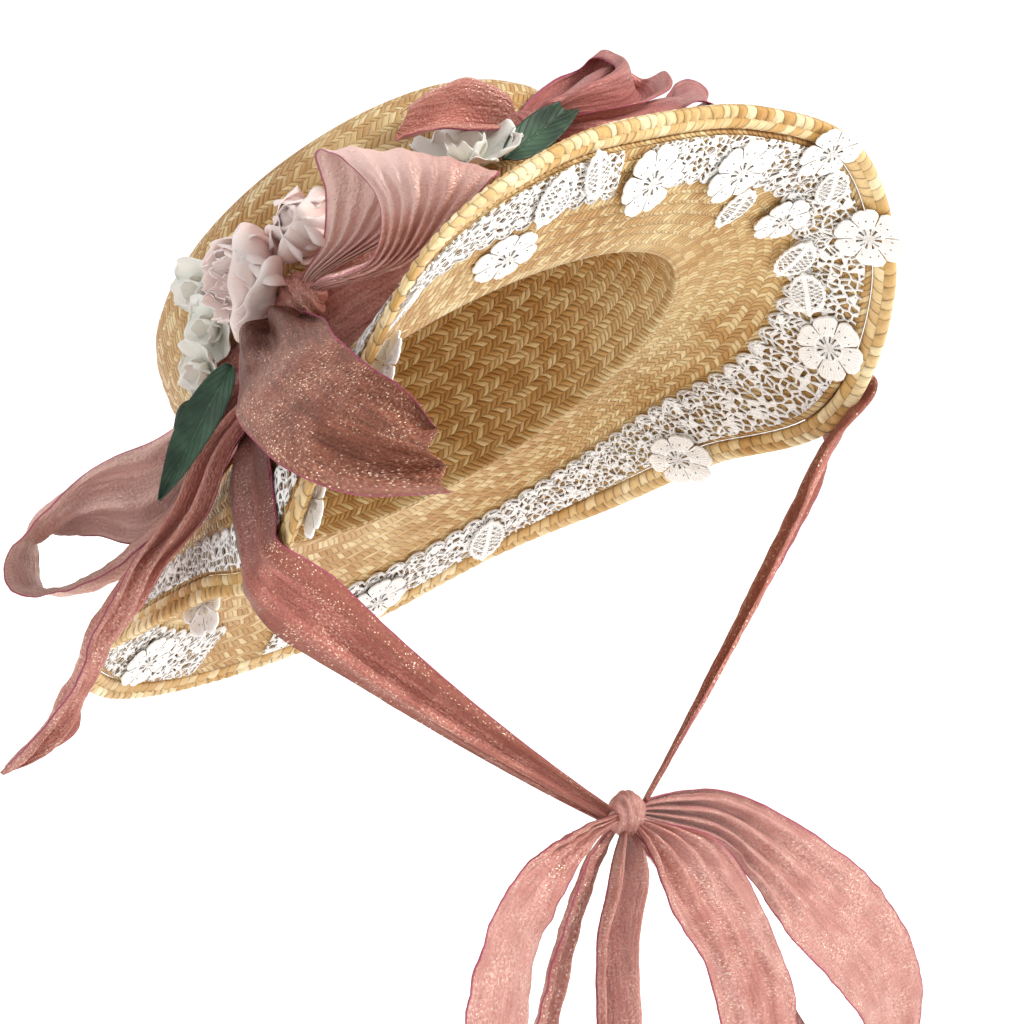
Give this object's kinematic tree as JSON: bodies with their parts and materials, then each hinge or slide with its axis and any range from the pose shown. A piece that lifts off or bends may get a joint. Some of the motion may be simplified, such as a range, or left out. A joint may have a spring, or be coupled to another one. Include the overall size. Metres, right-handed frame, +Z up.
{
  "type": "straw bonnet",
  "caption": "Sewn straw bonnet with a wide flared brim, worn tilted far back, lined with lace and trimmed with silk flowers and organza ribbon bows, tied under the chin.",
  "frame": {"origin": "centre of the crown's opening, where the bonnet sits on the head", "axes": "+Z up, the wearer faces -Y and the wearer's left is +X; the crown's axis leans 43 degrees back from +Z towards +Y"},
  "size_m": [0.3479, 0.2796, 0.4573],
  "materials": {
    "straw": "sewn straw braid",
    "lace": "cotton guipure lace",
    "ribbon": "crinkled organza with a metallic thread",
    "rose": "pale pink silk petals",
    "white_petals": "white silk petals",
    "leaf": "dark green waxed cloth"
  },
  "bodies": {
    "root": {"crown": "straw", "brim": "straw", "rim_braid": "straw", "lace_edging_right": "lace", "lace_edging_left": "lace", "lace_outer_edging": "lace", "lace_flower_1": "lace", "lace_flower_2": "lace", "lace_flower_3": "lace", "lace_flower_4": "lace", "lace_flower_5": "lace", "lace_flower_6": "lace", "lace_flower_7": "lace", "lace_flower_8": "lace", "lace_flower_9": "lace", "lace_flower_10": "lace", "lace_flower_11": "lace", "lace_flower_12": "lace", "lace_flower_13": "lace", "lace_leaf_1": "lace", "lace_leaf_2": "lace", "lace_leaf_3": "lace", "lace_leaf_4": "lace", "lace_leaf_5": "lace", "lace_leaf_6": "lace", "lace_leaf_7": "lace", "lace_leaf_8": "lace", "lace_leaf_9": "lace", "crown_band": "ribbon", "side_knot": "ribbon", "side_front_tail": "ribbon", "side_fan_loop": "ribbon", "side_back_loop": "ribbon", "side_back_tail": "ribbon", "top_knot": "ribbon", "top_back_loop": "ribbon", "top_upright_loop": "ribbon", "top_front_loop": "ribbon", "chin_strap_right": "ribbon", "chin_strap_left": "ribbon", "chin_knot": "ribbon", "chin_right_loop": "ribbon", "chin_left_loop": "ribbon", "chin_centre_tail": "ribbon", "chin_left_tail": "ribbon", "rose": "rose", "rosebud": "rose", "white_blossoms": "white_petals", "top_blossom": "white_petals", "long_leaf": "leaf", "small_leaf": "leaf", "top_leaf": "leaf"}
  },
  "joints": []
}
